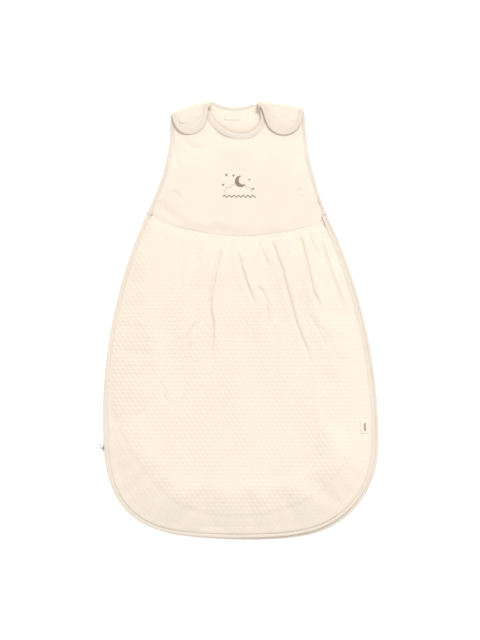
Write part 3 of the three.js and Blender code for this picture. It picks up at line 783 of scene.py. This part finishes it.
BODICE_CREASES = [
    (on_bodice((0.18, 0.76), (0.20, 0.72), (0.23, 0.68), (0.29, 0.66), (0.35, 0.685)), 1.3 * MM, 3.2 * MM),
    (on_bodice((0.12, 0.76), (0.145, 0.57), (0.18, 0.47)), 0.9 * MM, 4.0 * MM),
    (on_bodice((0.90, 0.34), (0.86, 0.29), (0.84, 0.22)), 0.8 * MM, 3.0 * MM),
    (on_bodice((0.94, 0.30), (0.89, 0.24), (0.88, 0.18)), 0.7 * MM, 3.0 * MM),
    (on_bodice((0.08, 0.33), (0.12, 0.28), (0.13, 0.20)), 0.7 * MM, 3.0 * MM),
]


def skirt_shape(points):
    """The front skirt without its quilting: wadding, pleats, gathers and the step above the hem."""
    _, away = measured_from(skirt_ring, points)
    free = smoothstep(away, 1 * MM, 14 * MM)
    across, _, _ = offset_from(HEM_STEP, points)
    soft = sum(pleat_relief(points, *pleat) for pleat in PLEATS)
    soft += gathers(points) + 1.3 * MM * waves(points, (0.06, 0.09, 0.13, 0.19), 5)
    soft += HEM_STEP_HEIGHT * (smoothstep(across, -6 * MM, 6 * MM) - 0.5)
    full = FULLNESS * np.sin(math.pi * np.clip(away / FULL_REACH, 0, 1) ** 0.6)
    full *= 0.25 + 0.75 * smoothstep(below_waist(points), 0, FULL_REACH)
    return front_skirt_top.at(points) + soft * free + full


def skirt_height(points):
    across, _, _ = offset_from(HEM_STEP, points)
    strength = 0.35 + 0.65 * smoothstep(across, -6 * MM, 6 * MM)
    strength *= 0.5 + 0.5 * smoothstep(below_waist(points), 60 * MM, 180 * MM)
    return skirt_shape(points) + skirt_swell.at(points) + quilting(points) * strength


def bodice_shape(points):
    """The bodice before it swells, with its creases."""
    _, away = measured_from(bodice_ring, points)
    free = smoothstep(away, 1 * MM, 20 * MM)
    soft = sum(pleat_relief(points, *crease) for crease in BODICE_CREASES)
    return front_bodice_top.at(points) + soft + 0.9 * MM * waves(points, (0.07, 0.11, 0.17), 11) * free


def bodice_height(points):
    """The bodice, drawn down round its two underarm poppers."""
    height = bodice_shape(points) + bodice_swell.at(points)
    for side in SIDES:
        low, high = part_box(f"{side}_underarm_popper_cap")
        away = np.hypot(points[:, 0] - (low.x + high.x) / 2, points[:, 1] - (low.y + high.y) / 2)
        drawn = 0.95 * np.exp(-(away / DIMPLE) ** 4)
        height += (low.z + 0.5 * MM - height) * drawn
    return height


# ------------------------------------------------------------------ cloth simulation
CLOTH_PRESSURE = 4.0
CLOTH_STIFFNESS = 1.5
CLOTH_FRAMES = 20


def swell_of(node, ring, top, bottom, growth, cap):
    """The height that cloth simulation adds to a pad, which is held along its rim and underneath."""
    piece = pad("swelling", ring, top, bottom, jersey, LOOSE, COARSE)
    before = Relief(node, 1, 0, piece.data)
    rest = np.array([v.co for v in piece.data.vertices])
    low = bottom(rest[:, :2])
    free = rest[:, 2] > low + 0.6 * (top(rest[:, :2]) - low)
    free[:len(ring)] = False
    held = piece.vertex_groups.new(name="held")
    held.add(np.nonzero(~free)[0].tolist(), 1.0, "REPLACE")
    cloth = piece.modifiers.new("cloth", "CLOTH")
    cloth.settings.vertex_group_mass = "held"
    cloth.settings.use_pressure = True
    cloth.settings.uniform_pressure_force = CLOTH_PRESSURE
    cloth.settings.shrink_min = -growth
    cloth.settings.effector_weights.gravity = 0
    cloth.settings.bending_stiffness = CLOTH_STIFFNESS
    for step in range(1, CLOTH_FRAMES + 1):
        bpy.context.scene.frame_set(step)
    swollen = piece.evaluated_get(bpy.context.evaluated_depsgraph_get()).to_mesh()
    gain = np.array([v.co for v in swollen.vertices]) - rest
    gain *= np.minimum(1, cap / np.maximum(np.linalg.norm(gain, axis=1), 1e-9))[:, None]
    piece.modifiers.clear()
    piece.data.vertices.foreach_set("co", (rest + gain).ravel())
    bpy.context.scene.frame_set(1)
    swell = Relief(node, 1, 0, piece.data)
    swell.heights = Relief.blurred(swell.heights - before.heights, 1.3)
    bpy.data.objects.remove(piece)
    return swell


def on_bag(piece):
    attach(piece, BAG)
    return piece


# ------------------------------------------------------------------ panels
SKIRT_GROWTH = (0.004, 2.5 * MM)  # how much the cloth is cut larger than its pad, and its most swell
BODICE_GROWTH = (0.010, 3 * MM)


def tucked(ring):
    """A front panel's ring, run in under its bindings and just under its neighbour at the waist seam."""
    _, _, from_waist = offset_from(waist_line, ring[:, :2])
    distance = SEAM_TUCK + (TUCK - SEAM_TUCK) * smoothstep(from_waist, 3 * MM, 12 * MM)
    return grown(ring, distance[:, None])


skirt_ring = tucked(smooth_ring("front_skirt_outer", FINE))
bodice_ring = tucked(smooth_ring("front_yoke_outer", MEDIUM))
skirt_swell = swell_of("front_skirt_outer", skirt_ring, skirt_shape, front_low.at, *SKIRT_GROWTH)
bodice_swell = swell_of("front_yoke_outer", bodice_ring, bodice_shape, front_low.at, *BODICE_GROWTH)

front_skirt = pad("front_skirt", skirt_ring, skirt_height, front_low.at, quilted, FINE)
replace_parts(front_skirt, "front_skirt_outer", "front_wadding")
on_bag(front_skirt)

front_bodice = pad("front_bodice", bodice_ring, bodice_height, front_low.at, jersey, MEDIUM)
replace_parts(front_bodice, "front_yoke_outer")
on_bag(front_bodice)


def back_panel(name, node, material, pattern, under):
    """A back panel lies flat on whatever is under it, with only its pattern raised."""
    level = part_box(node)[0].z
    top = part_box("back_wadding")[1].z
    ring = grown(smooth_ring(node, under), SEAM_TUCK)
    piece = pad(name, ring, lambda p: np.full(len(p), top), lambda p: level + pattern(p), material,
                COARSE, under, sink=top - level - 2 * MM)
    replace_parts(piece, node)
    on_bag(piece)
    return piece


def quilted_underside(points):
    return QUILT_DEPTH - quilting(points)


def plain_underside(points):
    return 0.4 * MM * (1 + waves(points, (0.05, 0.08, 0.12), 23))


back_skirt = back_panel(
    "back_skirt", "back_skirt_outer", quilted, quilted_underside, MIDDLING)
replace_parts(back_skirt, "back_wadding")
back_panel("back_bodice", "back_yoke_outer", jersey, plain_underside, MEDIUM)


def lining(name, node):
    """A sheet of lining jersey on the inside of the bag."""
    ring = grown(smooth_ring(node, MEDIUM), TUCK)
    top, low = Relief(node), Relief(node, -1)
    piece = pad(name, ring, top.at, low.at, lining_cloth, 2 * MEDIUM, COARSE)
    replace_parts(piece, node)
    on_bag(piece)


lining("back_lining_cloth", "back_lining")
lining("front_lining_cloth", "front_lining")

# ------------------------------------------------------------------ bindings
for band_node, strip in {**band_strips("back"), **band_strips("front")}.items():
    on_bag(binding(f"{band_node}_band", band_node, strip))
    sewn = -SEWN if "neck" in band_node else SEWN
    seam = stitches(f"{band_node}_seam", [over_band(strip, sewn)], sewing_thread)
    on_bag(seam)


# ------------------------------------------------------------------ shoulder tabs and folds
def tab(side):
    body = f"{side}_tab"
    outer_node, facing_node = f"{side}_tab_outer", f"{side}_tab_facing"
    ring = grown(smooth_ring(outer_node, MEDIUM / 2), TUCK / 2)
    top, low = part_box(outer_node)[1].z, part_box(facing_node)[0].z

    def crown(points):
        _, away = measured_from(ring, points)
        return top - 0.2 * MM + 1.4 * MM * smoothstep(away, 0, 12 * MM)

    cloth = pad(f"{side}_tab_cloth", ring, crown, lambda p: np.full(len(p), low), tab_cloth,
                MEDIUM / 2, MEDIUM, sink=0.9 * MM)
    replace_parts(cloth, outer_node, facing_node)
    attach(cloth, body)
    strip = strip_of(f"{side}_tab_binding", BAND_STEP)
    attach(binding(f"{side}_tab_band", f"{side}_tab_binding", strip), body)
    seam = stitches(f"{side}_tab_seam", [over_band(strip, SEWN)], sewing_thread)
    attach(seam, body)


FOLD_CLOTH = 2.4 * MM
FOLD_REACH = 7 * MM  # how far the cloth runs into the strap and the tab
FOLD_DIP = 1.2 * MM  # how far its ends sink into them
FOLD_STEPS = 24


def shoulder_fold(side):
    """The bend of cloth from the back strap into the tab."""
    node = f"{side}_shoulder_fold"
    mesh = frame["nodes"][node].data
    points = np.array([v.co for v in mesh.vertices])
    low, high = points.min(0), points.max(0)
    flat = points[:, :2] - points[:, :2].mean(0)
    along = np.linalg.svd(flat, full_matrices=False)[2][0]
    along = along if along[0] > 0 else -along
    headward = np.array([-along[1], along[0]])
    lengths, depths = points[:, :2] @ along, points[:, :2] @ headward
    height, depth = (high[2] - low[2]) / 2, depths.max() - depths.min()
    profile = []
    for inner in (False, True):
        up = height - (FOLD_CLOTH if inner else 0)
        out = depth - (FOLD_CLOTH if inner else 0)
        turn = [(out * math.cos(a), up * math.sin(a)) for a in np.linspace(-math.pi / 2, math.pi / 2, 13)]
        line = [(-FOLD_REACH, FOLD_DIP - up), *turn, (-FOLD_REACH, up - FOLD_DIP)]
        profile += line[::-1] if inner else line
    sections = []
    for i in range(FOLD_STEPS + 1):
        at = lengths.min() + i / FOLD_STEPS * (lengths.max() - lengths.min())
        ripple_out = 0.35 * MM * math.sin(i * 1.3) + 0.25 * MM * math.sin(i * 2.9)
        sections.append(np.array([
            [*(along * at + headward * (depths.min() + u + (ripple_out if u > 0 else 0))),
             low[2] + height + v]
            for u, v in profile]))
    piece = swept(f"{side}_shoulder_cloth", sections, tab_cloth)
    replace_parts(piece, node)
    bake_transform(piece)


for hand in SIDES:
    tab(hand)
    shoulder_fold(hand)


# ------------------------------------------------------------------ poppers
TURNED_STEPS = 40


def turned(name, profile, centre, z, material):
    """A lathe-turned piece from (radius, height) points that start and end on the axis or close."""
    rings = []
    for k in range(TURNED_STEPS):
        angle = 2 * math.pi * k / TURNED_STEPS
        rings.append(np.array([[centre.x + r * math.cos(angle), centre.y + r * math.sin(angle), z + h]
                               for r, h in profile]))
    piece = swept(name, rings, material, closed=True)
    shape = bmesh.new()
    shape.from_mesh(piece.data)
    bmesh.ops.remove_doubles(shape, verts=shape.verts, dist=1e-6)
    bmesh.ops.dissolve_degenerate(shape, edges=shape.edges, dist=1e-7)
    bmesh.ops.recalc_face_normals(shape, faces=shape.faces)
    shape.to_mesh(piece.data)
    shape.free()
    return piece


def popper_part(node, body):
    """A popper's cap, post, socket or stud, turned to fill its CAD node's box."""
    low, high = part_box(node)
    centre, tall = (low + high) / 2, high.z - low.z
    radius = (high.x - low.x) / 2
    if node.endswith(("_cap", "_post")):
        profile = [(0, tall), (0.25 * radius, tall), (0.52 * radius, 0.94 * tall),
                   (0.62 * radius, 0.78 * tall), (0.72 * radius, 0.80 * tall), (0.86 * radius, 0.66 * tall),
                   (0.96 * radius, 0.38 * tall), (radius, 0.12 * tall), (0.98 * radius, 0), (0, 0)]
        finish, record_slot = popper_plastic, "popper_cap"
    elif node.endswith("_socket"):
        bore = 0.55 * radius
        profile = [(bore, 0), (0.94 * radius, 0), (radius, 0.15 * tall), (0.97 * radius, 0.5 * tall),
                   (0.72 * radius, 0.72 * tall), (0.66 * radius, tall), (bore + 0.1 * radius, tall),
                   (bore, 0.85 * tall)]
        finish, record_slot = nickel, "popper_metal"
    else:
        knob = 0.42 * radius
        profile = [(0, 0), (0.94 * radius, 0), (radius, 0.1 * tall), (0.95 * radius, 0.3 * tall),
                   (0.6 * radius, 0.42 * tall), (0.8 * knob, 0.45 * tall), (knob, 0.7 * tall),
                   (0.85 * knob, 0.92 * tall), (0.4 * knob, tall), (0, tall)]
        finish, record_slot = nickel, "popper_metal"
    flipped = node.endswith("_post") or node.endswith("underarm_popper_socket")
    if flipped:
        profile = [(r, tall - h) for r, h in profile]
    piece = turned(f"{node}_part", profile, centre, low.z, finish)
    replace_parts(piece, node)
    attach(piece, body)


for body_name, members in frame["record"]["behaviour"]["bodies"].items():
    for member in members:
        if "popper" in member:
            popper_part(member, body_name)


# ------------------------------------------------------------------ zip
TOOTH_PITCH = 1.6 * MM


def zip_tape(node):
    piece = binding(f"{node}_woven", node, strip_of(node, BAND_STEP))
    piece.data.materials[0] = tape_cloth
    on_bag(piece)


def zip_teeth(node):
    """A row of moulded teeth, each a block that narrows at both of its ends."""
    outer, inner, low, high = strip_of(node, TOOTH_PITCH)
    vertices, faces = [], []
    for i in range(len(outer) - 1):
        along = (outer[i + 1] - outer[i]) * 0.32
        across = inner[i] - outer[i]
        taper = 0.12 * np.linalg.norm(across)
        corners = []
        for share, size in [(0, 0.55), (0.18, 1.0), (0.82, 1.0), (1, 0.7)]:
            for sign in (-1, 1):
                base = outer[i] + across * share + along * sign * size
                corners.append([*base, low[i] + (1 - size) * taper])
                corners.append([*base, high[i] - (1 - size) * taper])
        start = len(vertices)
        vertices += corners
        for k in range(3):
            a, b = start + 4 * k, start + 4 * k + 4
            faces += [(a, a + 1, b + 1, b), (a + 3, a + 2, b + 2, b + 3), (a + 1, a + 3, b + 3, b + 1),
                      (a + 2, a, b, b + 2)]
        faces += [(start, start + 2, start + 3, start + 1),
                  (start + 12, start + 13, start + 15, start + 14)]
    piece = facing_out(make_piece(f"{node}_row", vertices, faces, nylon, smooth=False))
    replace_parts(piece, node)
    on_bag(piece)


def softened(name, node, body, width):
    """A metal CAD solid with its edges rounded."""
    mesh = frame["nodes"][node].data.copy()
    mesh.name = name
    piece = bpy.data.objects.new(name, mesh)
    bpy.context.scene.collection.objects.link(piece)
    shape = bmesh.new()
    shape.from_mesh(mesh)
    bmesh.ops.remove_doubles(shape, verts=shape.verts, dist=1e-6)
    bmesh.ops.dissolve_limit(shape, angle_limit=math.radians(3), verts=shape.verts, edges=shape.edges)
    sharp = [e for e in shape.edges if len(e.link_faces) == 2 and e.calc_face_angle(0) > math.radians(35)]
    bmesh.ops.bevel(
        shape, geom=sharp, offset=width, segments=3, profile=0.6, affect="EDGES", clamp_overlap=True)
    bmesh.ops.recalc_face_normals(shape, faces=shape.faces)
    shape.to_mesh(mesh)
    shape.free()
    mesh.materials.clear()
    mesh.materials.append(zip_metal)
    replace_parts(piece, node)
    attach(piece, body)


zip_tape("zip_tape_back")
zip_tape("zip_tape_front")
zip_teeth("zip_teeth_back")
zip_teeth("zip_teeth_front")
softened("zip_slider_body", "zip_slider", "zip_slider", 0.25 * MM)
softened("zip_pull_tab", "zip_pull", "zip_pull", 0.2 * MM)
softened("zip_top_stop_clip", "zip_top_stop", BAG, 0.2 * MM)
softened("zip_bottom_stop_clip", "zip_bottom_stop", BAG, 0.2 * MM)
on_bag(binding("zip_garage_cloth", "zip_garage", strip_of("zip_garage", BAND_STEP)))


# ------------------------------------------------------------------ labels
LABEL_STEP = 1.5 * MM


def side_label():
    ring = smooth_ring("side_label", LABEL_STEP)[:, :2]
    piece = pad("side_label_ribbon", ring, lambda p: skirt_height(p) + 0.9 * MM,
                lambda p: skirt_height(p) + 0.2 * MM, label_cloth, LABEL_STEP, MEDIUM, edge=0.6 * MM)
    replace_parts(piece, "side_label")
    on_bag(piece)


def side_label_block():
    """A plain block woven into the label, towards the seam."""
    ring = smooth_ring("side_label", LABEL_STEP)[:, :2]
    middle = ring.mean(0) + np.array([1.6 * MM, -1 * MM])
    shares = (ring - ring.mean(0)) * np.array([0.36, 0.60])
    lines = [[(*end, float(skirt_height(end[None])[0]) + 1.0 * MM) for end in pair]
             for pair in hatched(middle + shares, 0.0)]
    block = stitches("side_label_block", lines, motif_pale, 1.4 * MM, 0.1 * MM, 0.5 * MM)
    on_bag(block)


def neck_label():
    ring = smooth_ring("neck_label", LABEL_STEP)
    surface = Relief("back_lining")
    piece = pad("neck_label_ribbon", ring, lambda p: surface.at(p) + 0.8 * MM,
                lambda p: surface.at(p) + 0.1 * MM, label_cloth, LABEL_STEP, MEDIUM, edge=0.6 * MM)
    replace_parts(piece, "neck_label")
    on_bag(piece)


# ------------------------------------------------------------------ embroidery
def hatched(shape_ring, slant, spacing=0.55 * MM):
    """Parallel threads that fill a ring, as pairs of end points."""
    turn = np.array([[math.cos(slant), math.sin(slant)], [-math.sin(slant), math.cos(slant)]])
    ring = shape_ring @ turn.T
    threads_found = []
    for y in np.arange(ring[:, 1].min() + spacing / 2, ring[:, 1].max(), spacing):
        cuts = []
        for (ax, ay), (bx, by) in zip(ring, np.roll(ring, -1, 0)):
            if (ay > y) != (by > y):
                cuts.append(ax + (bx - ax) * (y - ay) / (by - ay))
        cuts.sort()
        for a, b in zip(cuts[::2], cuts[1::2]):
            threads_found.append((np.array([a, y]) @ turn, np.array([b, y]) @ turn))
    return threads_found


motif_low, motif_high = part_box("chest_motif")
motif_middle = np.array([(motif_low.x + motif_high.x) / 2, (motif_low.y + motif_high.y) / 2])


def laid_on_bodice(points, lift):
    return np.column_stack([points, bodice_height(points) + lift])


def arc(centre, radius, start, end, count=24):
    angles = np.radians(np.linspace(start, end, count))
    return np.asarray(centre) + radius * np.column_stack([np.cos(angles), np.sin(angles)])


def embroidered(name, rings, slant, material, thick=0.7 * MM):
    """Satin stitch: closely laid threads over each ring."""
    lines = []
    for ring in rings:
        for a, b in hatched(ring, slant):
            if np.linalg.norm(b - a) > 0.5 * MM:
                lines.append(laid_on_bodice(np.array([a, b]), 0.35 * MM))
    vertices, faces = [], []
    for line in lines:
        points, shape = stitch_shape(line[0], line[1], np.array([0.0, 0.0, 1.0]), thick)
        faces += [tuple(len(vertices) + k for k in face) for face in shape]
        vertices += points
    piece = facing_out(make_piece(name, vertices, faces, material))
    return on_bag(piece)


def star(centre, size):
    angles = np.radians(90 + 36 * np.arange(10))
    radii = np.where(np.arange(10) % 2 == 0, size, 0.45 * size)
    return np.asarray(centre) + np.column_stack([np.cos(angles), np.sin(angles)]) * radii[:, None]


def on_motif(x, y):
    """A place given in millimetres from the middle of the motif."""
    return motif_middle + np.array([x, y]) * MM


def crescent(centre, radius, bite_centre, bite_radius):
    """The part of one circle that lies outside another."""
    apart = bite_centre - centre
    gap = np.linalg.norm(apart)
    aim = math.degrees(math.atan2(apart[1], apart[0]))
    half = math.degrees(math.acos((gap ** 2 + radius ** 2 - bite_radius ** 2) / (2 * gap * radius)))
    bite_half = math.degrees(math.acos((radius ** 2 - gap ** 2 - bite_radius ** 2) / (2 * gap * bite_radius)))
    return np.vstack([arc(centre, radius, aim + half, aim + 360 - half, 28),
                      arc(bite_centre, bite_radius, aim + 360 - bite_half, aim + bite_half, 22)])


moon = crescent(on_motif(5, 3), 9 * MM, on_motif(9.2, 5.2), 7.2 * MM)
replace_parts(embroidered("motif_moon", [moon], 0.6, motif_thread), "chest_motif")
STARS = [(-17.5, 13, 2.8), (-6.3, 12.2, 2.4), (-22.5, -2.4, 2.4), (25, -8.8, 2.4), (19, 6, 1.9)]
embroidered("motif_stars", [star(on_motif(x, y), size * MM) for x, y, size in STARS], 0.2, motif_thread)

CLOUD = [(-14, -12, 6, 200, 50), (-4, -8, 7, 160, 40), (8, -9, 7, 140, 25), (17, -12.5, 5.5, 110, -20)]
cloud_lines = [arc(on_motif(x, y), radius * MM, start, end, 14) for x, y, radius, start, end in CLOUD]
laid = [laid_on_bodice(line, 0.3 * MM) for line in cloud_lines]
on_bag(stitches("motif_cloud", laid, motif_pale, 2.0 * MM, 0.3 * MM, 0.6 * MM))

wave_x = np.linspace(-23, 29, 120)
wavy = motif_middle + np.column_stack([wave_x, -20.5 + 1.5 * np.sin(wave_x * 0.85)]) * MM
half_width = np.array([0, 0.9 * MM])
wave_ring = np.vstack([wavy - half_width, (wavy + half_width)[::-1]])
embroidered("motif_wave", [wave_ring], math.pi / 2, motif_thread)

side_label()
side_label_block()
neck_label()

# ------------------------------------------------------------------ floor, light, camera
PICTURE_FILL = 0.689  # share of the picture's height that the bag takes up
CAMERA_HEIGHT = 3.2
SENSOR = 36.0
FLOOR_HALF = 6.0
WORLD_STRENGTH = 0.69
SUNS = [("key", 2.1, 72, 50, 12), ("fill", 0.5, 250, 60, 40)]  # power, azimuth, height, softness in degrees

low_corner, high_corner = [Vector(corner) for corner in cad_box]
bag_middle = (low_corner + high_corner) / 2


def add_floor():
    corners = [(-1, -1), (1, -1), (1, 1), (-1, 1)]
    spread = [(FLOOR_HALF * x, FLOOR_HALF * y, -0.5 * MM) for x, y in corners]
    make_piece("floor", spread, [(0, 1, 2, 3)], glowing_floor("glowing_floor"))


def add_lights():
    world = bpy.data.worlds.new("studio")
    bpy.context.scene.world = world
    world.use_nodes = True
    background = world.node_tree.nodes["Background"]
    background.inputs["Color"].default_value = (1.0, 1.0, 1.0, 1)
    background.inputs["Strength"].default_value = WORLD_STRENGTH
    for name, power, azimuth, height, soft in SUNS:
        light = bpy.data.lights.new(name, "SUN")
        light.energy = power
        light.angle = math.radians(soft)
        lamp = bpy.data.objects.new(name, light)
        bpy.context.scene.collection.objects.link(lamp)
        aim = Vector((math.cos(math.radians(azimuth)) * math.cos(math.radians(height)),
                      math.sin(math.radians(azimuth)) * math.cos(math.radians(height)),
                      math.sin(math.radians(height))))
        lamp.rotation_euler = aim.to_track_quat("Z", "Y").to_euler()


def add_camera():
    camera = bpy.data.cameras.new("camera")
    camera.sensor_width = SENSOR
    seen = (high_corner.y - low_corner.y) / PICTURE_FILL
    camera.lens = SENSOR * (CAMERA_HEIGHT - bag_middle.z) / seen
    holder = bpy.data.objects.new("camera", camera)
    bpy.context.scene.collection.objects.link(holder)
    holder.location = (-2.4 * MM, 0.4 * MM, CAMERA_HEIGHT)
    bpy.context.scene.camera = holder


add_floor()
add_lights()
add_camera()
bpy.context.scene.view_settings.view_transform = "Standard"
